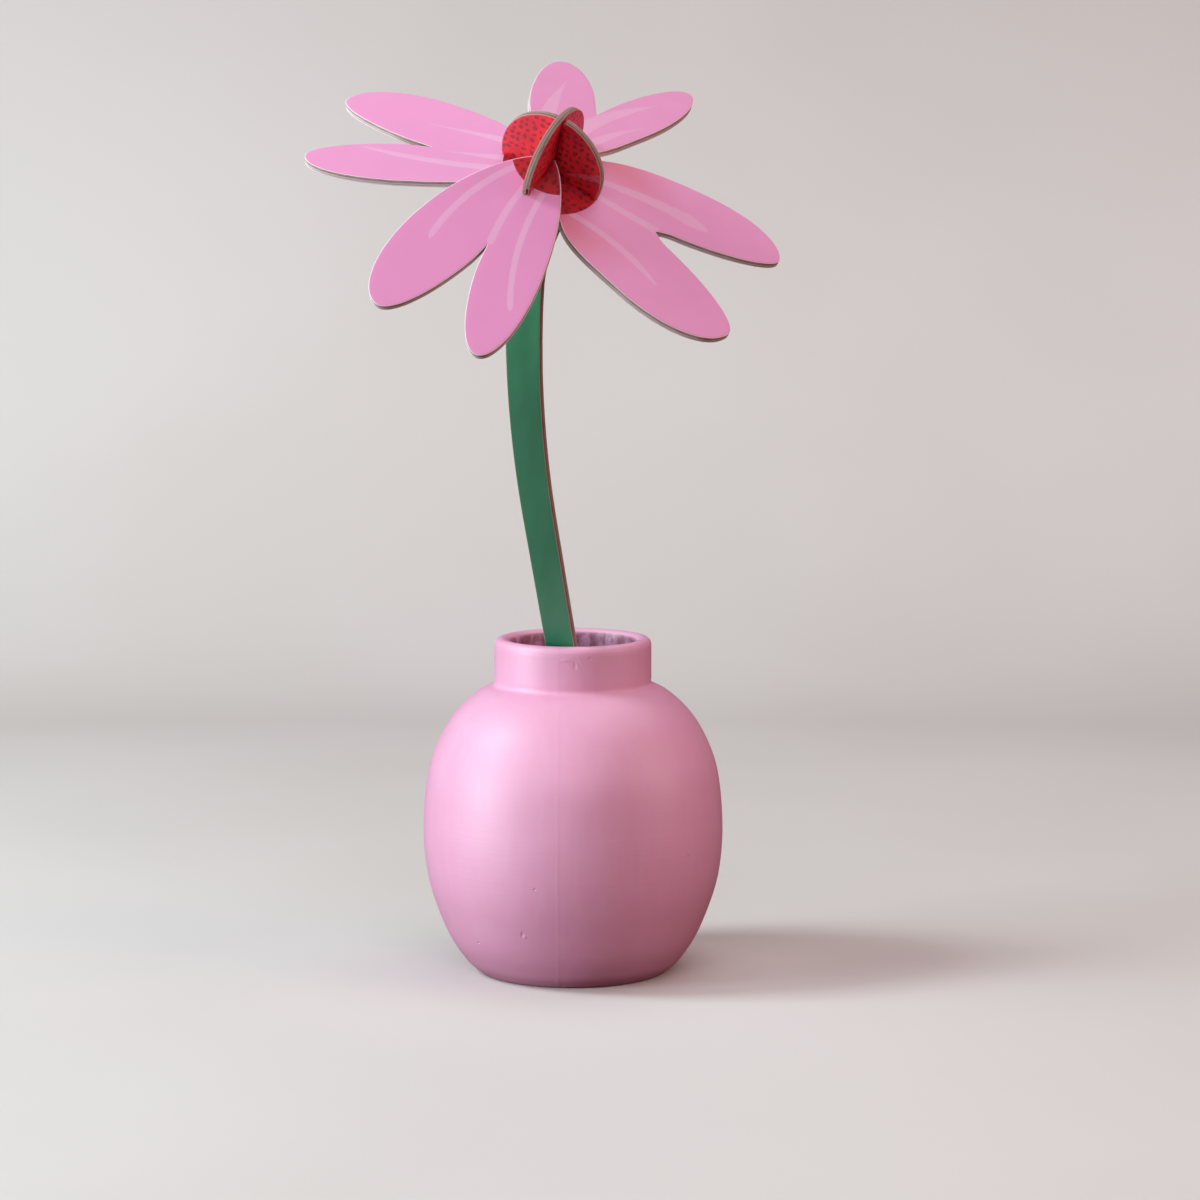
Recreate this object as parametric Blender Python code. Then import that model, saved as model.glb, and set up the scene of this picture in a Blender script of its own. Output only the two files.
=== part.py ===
"""Cardboard coneflower in a vase.

Six boards of printed greyboard are slotted together into a coneflower. The stem leans in a
round-bellied ceramic vase: its foot is against the vase's inner wall at the back, and its
front face leans on the mouth. Units are metres, +Z is up, and the origin is at the centre of
the vase's foot. The viewer stands on the -Y side.

The flower is modelled upright in its own frame and then leaned over by an empty. In that
frame the stem board lies in the XZ plane, the cross fin lies in the YZ plane, and the origin
is where the two lower petal boards would meet on the cone's axis.
"""

import math

import bmesh
import bpy
from mathutils import Euler, Matrix, Vector

# Boards
BOARD = 0.0020  # thickness of the greyboard
SLOT_GAP = 0.0003  # clearance on each side of a board in its slot
CONE_RADIUS = 0.0156  # the stem board's top is cut from this round
CONE_CENTRE = 0.0019  # height of the round's centre over the flower's origin
FIN_RADIUS = 0.01525  # the cross fin's round is a little smaller and stands higher
FIN_CENTRE = 0.0029
CONE_STEPS = 72  # straight edges in a full round
SLOT_MEET = 0.0017  # height at which the slots of the two fins meet
SLOT_MOUTH = (0.0001, 0.0004)  # how far the stem board's top slot flares, left and right
SLOT_MOUTH_DEPTH = 0.0022

# Stem, drawn down from the cone
STEM_TOP_X = -0.0042  # where the stem's centre line starts
STEM_TOP_Z = 0.009
STEM_BEND = 0.434  # radius of the stem's long curve
STEM_STRAIGHT_FROM = math.radians(18.7)  # slant at which the curve runs out
STEM_HALF = 0.0057  # half width just below the flare
STEM_FOOT_HALF = 0.0050  # half width at the foot
STEM_FOOT_Z = -0.2687  # the foot's height in the flower's own frame
STEM_STEPS = 40
STEM_SPREAD = 1.3  # above 1, the steps are closer together near the cone
FLARE_FROM_Z = -0.0430  # the stem widens above this height
FLARE_TO_Z = -0.0150
FLARE_EXTRA = 0.0052  # half width gained where the flare meets the cone
FLARE_POWER = 1.6

# Petal boards
SLOT_SHARE = 0.55  # share of the lap cut in the petal board, the rest is in the fin
SLOT_END_GAP = 0.0004
PETAL_WIDEST = 0.57  # place along a petal where it is widest
PETAL_HUB_OUTER = 0.20  # outer half width at the hub, as a share of the widest
PETAL_HUB_INNER = 0.34
PETAL_EASE = 2.4  # how late the sides draw in towards the hub
PETAL_STARTS = 0.10  # share of the length at which a petal's sides begin
NOTCH_ALONG = 0.0010  # sides of the notch end this far beyond its point
NOTCH_ASIDE = 0.0002
PETAL_STEPS = 22  # straight edges along each side of a petal
HUB_STEPS = 10  # straight edges from the hub's corner into a petal's outer edge
TIP_STEPS = 14  # straight edges around each half of a petal's tip

# Each petal: angle from the slot in degrees, length, outer and inner half width.
# "turn" is the board's heading in the flower's frame, "droop" its slope down and outwards.
# "hub" says for each side how the edge leaves the hub's corner (degrees), how far out it
# becomes the petal's own edge, and how slowly it bends between the two.
PETAL_BOARDS = {
    "petals_front": {
        "turn": -90, "droop": 19, "lift": 0.0052, "notch": (0.0342, -0.0008),
        "hub": ((50, 0.030, 0.30), (65, 0.030, 0.30)),
        "petals": ((12.5, 0.0668, 0.0092, 0.0088), (14.8, 0.0674, 0.0133, 0.0085)),
    },
    "petals_right": {
        "turn": 0, "droop": 12, "lift": 0.0, "notch": (0.0335, 0.0028),
        "hub": ((75, 0.034, 0.36), (54, 0.034, 0.56)),
        "petals": ((18.1, 0.0684, 0.0132, 0.0068), (11.2, 0.0684, 0.0160, 0.0080)),
    },
    "petals_back": {
        "turn": 90, "droop": 16, "lift": 0.0052, "notch": (0.0334, 0.0026),
        "hub": ((65, 0.034, 0.30), (45, 0.030, 0.35)),
        "petals": ((22.8, 0.0602, 0.0088, 0.0100), (7.2, 0.0732, 0.0083, 0.0071)),
    },
    "petals_left": {
        "turn": 180, "droop": 12, "lift": 0.0, "notch": (0.0346, 0.0064),
        "hub": ((58, 0.030, 0.35), (45, 0.030, 0.30)),
        "petals": ((22.1, 0.0687, 0.0096, 0.0077), (2.3, 0.0675, 0.0125, 0.0078)),
    },
}

# How the flower leans out of the vase
HEAD_PLACE = (-0.0049, -0.1192, 0.2510)
HEAD_TURN = 14.0  # degrees: turn, lean and spin, in that order from the outside in
HEAD_LEAN = 41.3
HEAD_SPIN = -39.5

# Vase
FOOT_RADIUS = 0.0290
BELLY = (  # radius and height up the outer side, from the foot's edge to the neck's crease
    (0.0332, 0.0032), (0.0384, 0.0107), (0.0426, 0.0205), (0.0455, 0.0305),
    (0.0468, 0.0440), (0.0457, 0.0600), (0.0429, 0.0703), (0.0374, 0.0803),
    (0.0298, 0.0877), (0.0248, 0.0903),
)
NECK_RADIUS = 0.0244
NECK_TOP = 0.1048
NECK_FROM = 0.0920  # the neck is straight above this height
WALL = 0.0046
LIP_ROUND = 0.0021
FLOOR_TOP = 0.0065
FLOOR_CORNER = 0.0035  # width of the slope where the inner wall meets the floor
THROAT = 0.0905  # height of the inner corner below the neck
INNER_STEP = 0.0004  # the inner wall begins this far outside the throat
VASE_SEGMENTS = 64
CURVE_STEPS = 2  # straight edges between two points of the belly

SHARP_ANGLE = math.radians(35)
WELD = 0.00001


def clear_scene():
    for old in list(bpy.data.objects):
        bpy.data.objects.remove(old, do_unlink=True)


def make_material(name, colour, roughness, metallic=0.0):
    material = bpy.data.materials.new(name)
    material.use_nodes = True
    shader = material.node_tree.nodes["Principled BSDF"]
    shader.inputs["Base Color"].default_value = (*colour, 1.0)
    shader.inputs["Roughness"].default_value = roughness
    shader.inputs["Metallic"].default_value = metallic
    material.diffuse_color = (*colour, 1.0)
    return material


def add_object(name, mesh, material=None):
    thing = bpy.data.objects.new(name, mesh)
    bpy.context.collection.objects.link(thing)
    if material is not None:
        mesh.materials.append(material)
    return thing


def board_from_outline(name, outline, top, bottom, material=None):
    """Extrude a flat outline (x, y) between two heights."""
    mesh_builder = bmesh.new()
    rim = [mesh_builder.verts.new((x, y, bottom)) for x, y in outline]
    face = mesh_builder.faces.new(rim)
    face.normal_update()
    if face.normal.z > 0:
        face.normal_flip()
    raised = bmesh.ops.extrude_face_region(mesh_builder, geom=[face])
    moved = [item for item in raised["geom"] if isinstance(item, bmesh.types.BMVert)]
    bmesh.ops.translate(mesh_builder, vec=(0.0, 0.0, top - bottom), verts=moved)
    bmesh.ops.recalc_face_normals(mesh_builder, faces=mesh_builder.faces)
    mesh = bpy.data.meshes.new(name)
    mesh_builder.to_mesh(mesh)
    mesh_builder.free()
    mesh.shade_smooth()
    mesh.set_sharp_from_angle(angle=SHARP_ANGLE)
    return add_object(name, mesh, material)


def box_cutter(name, low, high, place=None):
    """A hidden box that a Boolean takes away."""
    mesh_builder = bmesh.new()
    bmesh.ops.create_cube(mesh_builder, size=1.0)
    size = Vector(high) - Vector(low)
    centre = (Vector(high) + Vector(low)) / 2
    bmesh.ops.transform(
        mesh_builder,
        matrix=Matrix.Translation(centre) @ Matrix.Diagonal((*size, 1.0)),
        verts=mesh_builder.verts,
    )
    mesh = bpy.data.meshes.new(name)
    mesh_builder.to_mesh(mesh)
    mesh_builder.free()
    cutter = add_object(name, mesh)
    if place is not None:
        cutter.matrix_world = place
    cutter.hide_render = True
    cutter.display_type = "WIRE"
    return cutter


def cut_away(thing, cutter):
    cut = thing.modifiers.new(cutter.name, "BOOLEAN")
    cut.operation = "DIFFERENCE"
    cut.solver = "EXACT"
    cut.object = cutter


# ---------------------------------------------------------------- petal boards


def petal_half_width(along, widest, at_hub):
    """Half width of a petal at a share of its length, up to its widest place."""
    drawn_in = ((PETAL_WIDEST - along) / PETAL_WIDEST) ** PETAL_EASE
    return widest * (1.0 - (1.0 - at_hub) * drawn_in)


def petal_edges(petal, side):
    """Outer and inner edge of one petal, both from the hub to the tip."""
    angle, length, outer_width, inner_width = petal
    turn = math.radians(angle)
    run = PETAL_WIDEST - PETAL_STARTS
    shares = [PETAL_STARTS + run * i / PETAL_STEPS for i in range(PETAL_STEPS + 1)]
    sweeps = [math.pi / 2 * i / TIP_STEPS for i in range(1, TIP_STEPS + 1)]
    edges = []
    for sign, width, at_hub in (
        (1, outer_width, PETAL_HUB_OUTER),
        (-1, inner_width, PETAL_HUB_INNER),
    ):
        places = [(share, petal_half_width(share, width, at_hub)) for share in shares]
        places += [
            (PETAL_WIDEST + (1 - PETAL_WIDEST) * math.sin(sweep), width * math.cos(sweep))
            for sweep in sweeps
        ]
        edge = []
        for share, half in places:
            x = share * length * math.cos(turn) - sign * half * math.sin(turn)
            y = share * length * math.sin(turn) + sign * half * math.cos(turn)
            edge.append((x, side * y))
        edges.append(edge)
    return edges


def hub_start(board):
    """Where a board begins, so that its lower edge too stays clear of the fin it ends at."""
    droop = math.radians(board["droop"])
    return (BOARD / 2 + SLOT_GAP) / math.cos(droop) + BOARD * math.tan(droop)


def hub_edge(start, angle, outer, bend):
    """Smooth edge from the hub's corner into the petal's outer edge, without its last point."""
    first = Vector(start)
    last = Vector(outer[0])
    handle = (last - first).length * bend
    leave = first + Vector((math.cos(angle), math.sin(angle))) * handle
    arrive = last - (Vector(outer[1]) - last).normalized() * handle
    edge = []
    for i in range(1, HUB_STEPS):
        t = i / HUB_STEPS
        point = (
            first * (1 - t) ** 3 + leave * 3 * t * (1 - t) ** 2
            + arrive * 3 * t**2 * (1 - t) + last * t**3
        )
        edge.append(tuple(point))
    return edge


def petal_board_outline(board, slot_end):
    """Closed outline: slot, hub corner, first petal, notch, second petal, hub corner."""
    half_slot = BOARD / 2 + SLOT_GAP
    begin = hub_start(board)
    notch = board["notch"]
    sides = []
    for side, petal, hub in zip((1, -1), board["petals"], board["hub"]):
        outer, inner = petal_edges(petal, side)
        angle, reach, bend = hub
        outer = [point for point in outer if point[0] > reach]
        start = (begin, side * (half_slot + SLOT_GAP))
        corner = [(begin, side * half_slot), start]
        corner += hub_edge(start, side * math.radians(angle), outer, bend)
        # the inner edge ends at the notch between the petals
        inner = [point for point in inner if point[0] > notch[0] + NOTCH_ALONG]
        inner = [point for point in inner if side * (point[1] - notch[1]) > NOTCH_ASIDE]
        sides.append(corner + outer + inner[::-1][1:])
    first, second = sides
    slot = [(slot_end, -half_slot), (slot_end, half_slot)]
    return slot + first + [notch] + second[::-1]


def cone_edge_reach(droop, lift):
    """How far out a board's top face meets the round of the cone fins."""
    slope = math.tan(droop)
    height = lift - CONE_CENTRE
    # (CONE_RADIUS)^2 = reach^2 + (height - slope * reach)^2
    a = 1 + slope**2
    b = -2 * slope * height
    c = height**2 - CONE_RADIUS**2
    return (-b + math.sqrt(b**2 - 4 * a * c)) / (2 * a)


def board_matrix(board):
    """Places a board's own frame (x outwards, top face at z = 0) in the flower's frame."""
    turn = Matrix.Rotation(math.radians(board["turn"]), 4, "Z")
    droop = Matrix.Rotation(math.radians(board["droop"]), 4, "Y")
    return Matrix.Translation((0, 0, board["lift"])) @ turn @ droop


def lap_middle(board):
    """Distance along the board where its slot ends and the fin's slot begins."""
    droop = math.radians(board["droop"])
    return cone_edge_reach(droop, board["lift"]) / math.cos(droop) * SLOT_SHARE


def make_petal_board(name, board, material, lean):
    slot_end = lap_middle(board) + SLOT_END_GAP
    outline = petal_board_outline(board, slot_end)
    thing = board_from_outline(name, outline, 0.0, -BOARD, material)
    thing.parent = lean
    thing.matrix_parent_inverse = Matrix.Identity(4)
    thing.matrix_local = board_matrix(board)
    return thing


def fin_slot_cutter(name, board, lean_matrix):
    """The slot that a petal board needs in its fin, from the lap's middle outwards."""
    start = lap_middle(board) - SLOT_END_GAP
    low = (start, -CONE_RADIUS, -BOARD - SLOT_GAP)
    high = (CONE_RADIUS * 2, CONE_RADIUS, SLOT_GAP)
    return box_cutter(name, low, high, lean_matrix @ board_matrix(board))


# ---------------------------------------------------------------- cone fins and stem


def stem_slant(z):
    """Slant of the stem's centre line at a height."""
    return min(math.asin(min((STEM_TOP_Z - z) / STEM_BEND, 1.0)), STEM_STRAIGHT_FROM)


def stem_centre(z):
    """Sideways place of the stem's centre line at a height: an arc, then straight."""
    curve_end_z = STEM_TOP_Z - STEM_BEND * math.sin(STEM_STRAIGHT_FROM)
    if z > curve_end_z:
        return STEM_TOP_X + STEM_BEND * (1 - math.cos(stem_slant(z)))
    curve_end_x = STEM_TOP_X + STEM_BEND * (1 - math.cos(STEM_STRAIGHT_FROM))
    return curve_end_x + (curve_end_z - z) * math.tan(STEM_STRAIGHT_FROM)


def stem_half_width(z):
    if z > FLARE_FROM_Z:
        rise = (z - FLARE_FROM_Z) / (FLARE_TO_Z - FLARE_FROM_Z)
        return STEM_HALF + FLARE_EXTRA * rise**FLARE_POWER
    down = (FLARE_FROM_Z - z) / (FLARE_FROM_Z - STEM_FOOT_Z)
    return STEM_HALF + (STEM_FOOT_HALF - STEM_HALF) * down


def stem_edge(side):
    """One long edge of the stem, from the flare down to the foot."""
    edge = []
    for i in range(STEM_STEPS + 1):
        z = FLARE_TO_Z + (STEM_FOOT_Z - FLARE_TO_Z) * (i / STEM_STEPS) ** STEM_SPREAD
        half = stem_half_width(z)
        slant = stem_slant(z)
        x = stem_centre(z) + side * half * math.cos(slant)
        edge.append((x, z + side * half * math.sin(slant)))
    return edge


def round_points(start, end, radius, centre):
    """Points on a fin's round between two angles, measured from +X upwards."""
    steps = max(2, round(abs(end - start) / (2 * math.pi) * CONE_STEPS))
    points = []
    for i in range(steps + 1):
        angle = start + (end - start) * i / steps
        points.append((
            radius * math.cos(angle),
            centre + radius * math.sin(angle),
        ))
    return points


def stand_in_plane(thing, upright, lean):
    """Parents a board drawn flat to the flower, standing on edge."""
    thing.parent = lean
    thing.matrix_parent_inverse = Matrix.Identity(4)
    thing.matrix_local = upright


# Boards are drawn in XY; these stand them up with their drawn Y as height.
IN_XZ = Matrix(((1, 0, 0, 0), (0, 0, -1, 0), (0, 1, 0, 0), (0, 0, 0, 1)))
IN_YZ = Matrix.Rotation(math.radians(90), 4, "Z") @ IN_XZ


def slot_mouth_cutter(name, lean_matrix):
    """Opens the slot's top into a small V, so the cross fin finds its way in."""
    half = BOARD / 2 + SLOT_GAP
    top = CONE_CENTRE + CONE_RADIUS + SLOT_MOUTH_DEPTH / 2
    bottom = CONE_CENTRE + CONE_RADIUS - SLOT_MOUTH_DEPTH
    flare_left, flare_right = (
        flare * (top - bottom) / SLOT_MOUTH_DEPTH for flare in SLOT_MOUTH
    )
    outline = [
        (-half, bottom),
        (half, bottom),
        (half + flare_right, top),
        (-half - flare_left, top),
    ]
    cutter = board_from_outline(name, outline, BOARD * 2, -BOARD * 2)
    cutter.matrix_world = lean_matrix @ IN_XZ
    cutter.hide_render = True
    cutter.display_type = "WIRE"
    return cutter


def make_stem_board(material, lean, lean_matrix):
    right = stem_edge(1)
    left = stem_edge(-1)
    start = math.atan2(right[0][1] - CONE_CENTRE, right[0][0])
    end = math.atan2(left[0][1] - CONE_CENTRE, left[0][0]) + 2 * math.pi
    outline = left + right[::-1] + round_points(start, end, CONE_RADIUS, CONE_CENTRE)
    thing = board_from_outline("stem_board", outline, BOARD / 2, -BOARD / 2, material)
    stand_in_plane(thing, IN_XZ, lean)
    half = BOARD / 2 + SLOT_GAP
    reach = CONE_RADIUS * 2
    top_slot = box_cutter(
        "cut_top_slot",
        (-half, -reach, SLOT_MEET - SLOT_END_GAP),
        (half, reach, reach),
        lean_matrix,
    )
    cut_away(thing, top_slot)
    cut_away(thing, slot_mouth_cutter("cut_slot_mouth", lean_matrix))
    for side in ("right", "left"):
        board = PETAL_BOARDS["petals_" + side]
        cut_away(thing, fin_slot_cutter("cut_stem_board_" + side, board, lean_matrix))
    return thing


def make_cross_fin(material, lean, lean_matrix):
    outline = round_points(0.0, 2 * math.pi, FIN_RADIUS, FIN_CENTRE)[:-1]
    thing = board_from_outline("cross_fin", outline, BOARD / 2, -BOARD / 2, material)
    stand_in_plane(thing, IN_YZ, lean)
    half = BOARD / 2 + SLOT_GAP
    reach = CONE_RADIUS * 2
    low_slot = box_cutter(
        "cut_low_slot",
        (-reach, -half, -reach),
        (reach, half, SLOT_MEET + SLOT_END_GAP),
        lean_matrix,
    )
    cut_away(thing, low_slot)
    for side in ("front", "back"):
        board = PETAL_BOARDS["petals_" + side]
        cut_away(thing, fin_slot_cutter("cut_cross_fin_" + side, board, lean_matrix))
    return thing


# ---------------------------------------------------------------- vase


def smooth_line(points, steps):
    """A Catmull-Rom curve through points, with straight ends."""
    ends = [points[0]] + list(points) + [points[-1]]
    line = []
    for i in range(1, len(ends) - 2):
        p0, p1, p2, p3 = (Vector(ends[j]) for j in range(i - 1, i + 3))
        for step in range(steps):
            t = step / steps
            line.append(0.5 * (
                2 * p1
                + (p2 - p0) * t
                + (2 * p0 - 5 * p1 + 4 * p2 - p3) * t**2
                + (3 * p1 - p0 - 3 * p2 + p3) * t**3
            ))
    line.append(Vector(ends[-1]))
    return line


def inset_line(line, depth):
    """Moves a profile inwards along its own normals."""
    moved = []
    for i, point in enumerate(line):
        ahead = line[min(i + 1, len(line) - 1)] - line[max(i - 1, 0)]
        normal = Vector((ahead.y, -ahead.x)).normalized()
        moved.append(point - normal * depth)
    return moved


def lip_arc(centre, start, end, steps=3):
    arc = []
    for i in range(steps + 1):
        angle = math.radians(start + (end - start) * i / steps)
        arc.append(centre + LIP_ROUND * Vector((math.cos(angle), math.sin(angle))))
    return arc


def vase_profile():
    """Half section from the foot's centre up the outside, over the lip and down inside."""
    outer = smooth_line(((FOOT_RADIUS, 0.0),) + BELLY + ((NECK_RADIUS, NECK_FROM),), CURVE_STEPS)
    inner_neck = NECK_RADIUS - WALL
    lip_z = NECK_TOP - LIP_ROUND
    lip = lip_arc(Vector((NECK_RADIUS - LIP_ROUND, lip_z)), 0, 90)
    lip += lip_arc(Vector((inner_neck + LIP_ROUND, lip_z)), 90, 180)
    inside = [
        point
        for point in inset_line(outer, WALL)
        if point.y > FLOOR_TOP + INNER_STEP and point.x > inner_neck + INNER_STEP
    ]
    inside = [Vector((inner_neck, THROAT))] + inside[::-1]
    inside.append(Vector((inside[-1].x - FLOOR_CORNER, FLOOR_TOP)))
    return [Vector((0.0, 0.0))] + outer + lip + inside + [Vector((0.0, FLOOR_TOP))]


def make_vase(material):
    mesh_builder = bmesh.new()
    profile = [mesh_builder.verts.new((point.x, 0.0, point.y)) for point in vase_profile()]
    edges = [mesh_builder.edges.new(pair) for pair in zip(profile[:-1], profile[1:])]
    bmesh.ops.spin(
        mesh_builder,
        geom=profile + edges,
        axis=(0, 0, 1),
        cent=(0, 0, 0),
        angle=2 * math.pi,
        steps=VASE_SEGMENTS,
        use_merge=True,
        use_duplicate=False,
    )
    bmesh.ops.remove_doubles(mesh_builder, verts=mesh_builder.verts, dist=WELD)
    bmesh.ops.recalc_face_normals(mesh_builder, faces=mesh_builder.faces)
    mesh = bpy.data.meshes.new("vase")
    mesh_builder.to_mesh(mesh)
    mesh_builder.free()
    mesh.shade_smooth()
    mesh.set_sharp_from_angle(angle=SHARP_ANGLE)
    return add_object("vase", mesh, material)


# ---------------------------------------------------------------- assembly


def make_lean():
    """The empty that leans the whole flower out of the vase."""
    lean = bpy.data.objects.new("flower_lean", None)
    bpy.context.collection.objects.link(lean)
    turn = Euler((0, 0, math.radians(HEAD_TURN))).to_matrix()
    tip = Euler((math.radians(HEAD_LEAN), 0, 0)).to_matrix()
    spin = Euler((0, 0, math.radians(HEAD_SPIN))).to_matrix()
    matrix = (turn @ tip @ spin).to_4x4()
    matrix.translation = HEAD_PLACE
    lean.matrix_world = matrix
    return lean, matrix


def main():
    clear_scene()
    ceramic = make_material("vase_pink", (0.72, 0.32, 0.52), 0.55)
    petal_print = make_material("petal_print", (0.80, 0.30, 0.55), 0.45)
    stem_print = make_material("stem_print", (0.04, 0.18, 0.10), 0.40)
    cone_print = make_material("cone_print", (0.62, 0.03, 0.05), 0.42)
    make_vase(ceramic)
    lean, lean_matrix = make_lean()
    make_stem_board(stem_print, lean, lean_matrix)
    make_cross_fin(cone_print, lean, lean_matrix)
    for name, board in PETAL_BOARDS.items():
        make_petal_board(name, board, petal_print, lean)


main()
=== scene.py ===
import math
from functools import reduce

import bmesh
import bpy
from mathutils import Euler, Matrix, Vector, geometry, noise


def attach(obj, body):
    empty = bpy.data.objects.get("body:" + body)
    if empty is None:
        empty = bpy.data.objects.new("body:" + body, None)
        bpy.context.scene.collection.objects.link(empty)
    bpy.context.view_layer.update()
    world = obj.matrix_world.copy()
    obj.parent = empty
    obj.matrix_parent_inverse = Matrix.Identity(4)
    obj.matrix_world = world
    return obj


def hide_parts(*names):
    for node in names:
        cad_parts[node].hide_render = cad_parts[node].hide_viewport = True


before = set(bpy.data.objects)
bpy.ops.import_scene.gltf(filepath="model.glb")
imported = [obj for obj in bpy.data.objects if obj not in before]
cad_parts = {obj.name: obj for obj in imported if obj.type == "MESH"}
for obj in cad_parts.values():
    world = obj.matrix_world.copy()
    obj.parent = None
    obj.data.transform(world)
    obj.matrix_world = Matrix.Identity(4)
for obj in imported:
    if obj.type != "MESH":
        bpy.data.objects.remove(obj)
scene = bpy.context.scene
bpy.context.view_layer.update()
print("frame loaded")

mm = 0.001


# fills in a node tree, step by step
class Bench:
    def __init__(self, tree):
        self.tree = tree

    def add(self, kind, sockets=(), **settings):
        node = self.tree.nodes.new(kind)
        for key, value in settings.items():
            setattr(node, key, value)
        for key, value in dict(sockets).items():
            self.plug(node.inputs[key], value)
        return node

    def plug(self, socket, value):
        if isinstance(value, bpy.types.NodeSocket):
            self.tree.links.new(value, socket)
        elif value is not None:
            if socket.type == "RGBA" and len(value) == 3:
                value = (*value, 1.0)
            socket.default_value = value

    def use(self, group, sockets):
        return self.add("ShaderNodeGroup", sockets, node_tree=group).outputs

    def attribute(self, name, output="Vector"):
        return self.add("ShaderNodeAttribute", attribute_name=name).outputs[output]

    def math(self, operation, a, b=None, clamp=False):
        node = self.add("ShaderNodeMath", {0: a, 1: b}, operation=operation, use_clamp=clamp)
        return node.outputs[0]

    def minus(self, a, b):
        return self.math("SUBTRACT", a, b)

    def plus(self, *values):
        return reduce(lambda a, b: self.math("ADD", a, b), values)

    def times(self, *values):
        return reduce(lambda a, b: self.math("MULTIPLY", a, b), values)

    def vector(self, operation, a, b=None):
        node = self.add("ShaderNodeVectorMath", {0: a, 1: b}, operation=operation)
        return node.outputs["Value" if operation in ("DOT_PRODUCT", "LENGTH") else "Vector"]

    def combine(self, x, y, z=0.0):
        return self.add("ShaderNodeCombineXYZ", {0: x, 1: y, 2: z}).outputs[0]

    def split(self, value):
        return self.add("ShaderNodeSeparateXYZ", {0: value}).outputs

    def remap(self, value, low, high, to=(0.0, 1.0), smooth=True):
        sockets = dict(enumerate((value, low, high, *to)))
        kind = "SMOOTHSTEP" if smooth else "LINEAR"
        return self.add("ShaderNodeMapRange", sockets, interpolation_type=kind).outputs[0]

    def mix(self, share, a, b, blend="MIX"):
        sockets = {"Factor": share, 6: a, 7: b}
        node = self.add("ShaderNodeMix", sockets, data_type="RGBA", blend_type=blend)
        return node.outputs[2]

    def shade(self, colour, amount):
        return self.mix(1.0, colour, self.combine(amount, amount, amount), "MULTIPLY")

    def noise(self, place, scale, detail=2.0, rough=0.5, output=0):
        sockets = {"Vector": place, "Scale": scale, "Detail": detail, "Roughness": rough}
        return self.add("ShaderNodeTexNoise", sockets).outputs[output]

    def cells(self, place, scale, randomness=1.0, dimensions="3D"):
        sockets = {"Vector": place, "Scale": scale, "Randomness": randomness}
        node = self.add("ShaderNodeTexVoronoi", sockets, voronoi_dimensions=dimensions)
        return node.outputs

    def raiseBy(self, shader, height, strength, distance):
        # bump, with its distance in mm
        sockets = {"Height": height, "Strength": strength, "Distance": distance * mm}
        self.plug(shader["Normal"], self.add("ShaderNodeBump", sockets).outputs[0])


def newGroup(name, inputs, outputs):
    tree = bpy.data.node_groups.new(name, "ShaderNodeTree")
    for way, sockets in (("INPUT", inputs), ("OUTPUT", outputs)):
        for kind, names in sockets.items():
            for socket in names:
                tree.interface.new_socket(socket, in_out=way, socket_type="NodeSocket" + kind)
    bench = Bench(tree)
    return tree, bench, bench.add("NodeGroupInput").outputs, bench.add("NodeGroupOutput").inputs


def newMaterial(name, roughness, coat=(0.0, 0.03)):
    material = bpy.data.materials.new(name)
    material.use_nodes = True
    bench = Bench(material.node_tree)
    shader = material.node_tree.nodes["Principled BSDF"].inputs
    shader["Roughness"].default_value = roughness
    shader["Coat Weight"].default_value, shader["Coat Roughness"].default_value = coat
    return material, bench, shader


def objectFrom(mesh, name, *materials):
    data = bpy.data.meshes.new(name)
    mesh.to_mesh(data)
    mesh.free()
    for material in materials:
        data.materials.append(material)
    thing = bpy.data.objects.new(name, data)
    scene.collection.objects.link(thing)
    print(name, "built,", len(data.polygons), "faces")
    return thing


# effects that several finishes share, in mm

toothLook = {
    "fibreScale": 2.6, "fibreRough": 0.65,
    "cloudScale": 0.07, "cloudRough": 0.55,
    "speckScale": 9.0, "speckDepth": 0.10,
    "fleckScale": 0.30,
    "fleckFrom": 0.80,  # a cell whose chance is above this has a fleck
    "fleckSize": 0.055,
    "fleckEdge": (-0.012, 0.025),
}


def buildPaperTooth():
    # the fibre and mottle of printed paper: a shade around 1 and a height
    tree, bench, given, out = newGroup(
        "paperTooth", {"Vector": ["Place"], "Float": ["Mottle", "Flecks"]},
        {"Float": ["Shade", "Height"]},
    )
    look = toothLook
    place = given["Place"]
    fibre = bench.noise(place, look["fibreScale"], detail=4.0, rough=look["fibreRough"])
    cloud = bench.noise(place, look["cloudScale"], detail=3.0, rough=look["cloudRough"])
    speck = bench.noise(place, look["speckScale"], detail=1.0)
    cloudShift = bench.times(bench.minus(cloud, 0.5), given["Mottle"])
    speckShift = bench.times(bench.minus(speck, 0.5), look["speckDepth"])
    shade = bench.plus(cloudShift, speckShift, 1.0)
    # here and there a dark fleck in the print
    cells = bench.cells(place, look["fleckScale"])
    chance = bench.split(cells["Color"])["X"]
    size = bench.remap(chance, look["fleckFrom"], 1.0, (0.0, look["fleckSize"]), smooth=False)
    fleck = bench.remap(bench.minus(size, cells["Distance"]), *look["fleckEdge"])
    shade = bench.minus(shade, bench.times(fleck, given["Flecks"]))
    bench.plug(out["Shade"], shade)
    bench.plug(out["Height"], fibre)
    return tree


strokeLook = {
    "raggedScale": 0.55, "raggedRough": 0.6,
    "tipPower": 0.6,  # below 1, the tip stays full for longer
    "softEdge": 0.14,
}


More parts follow.
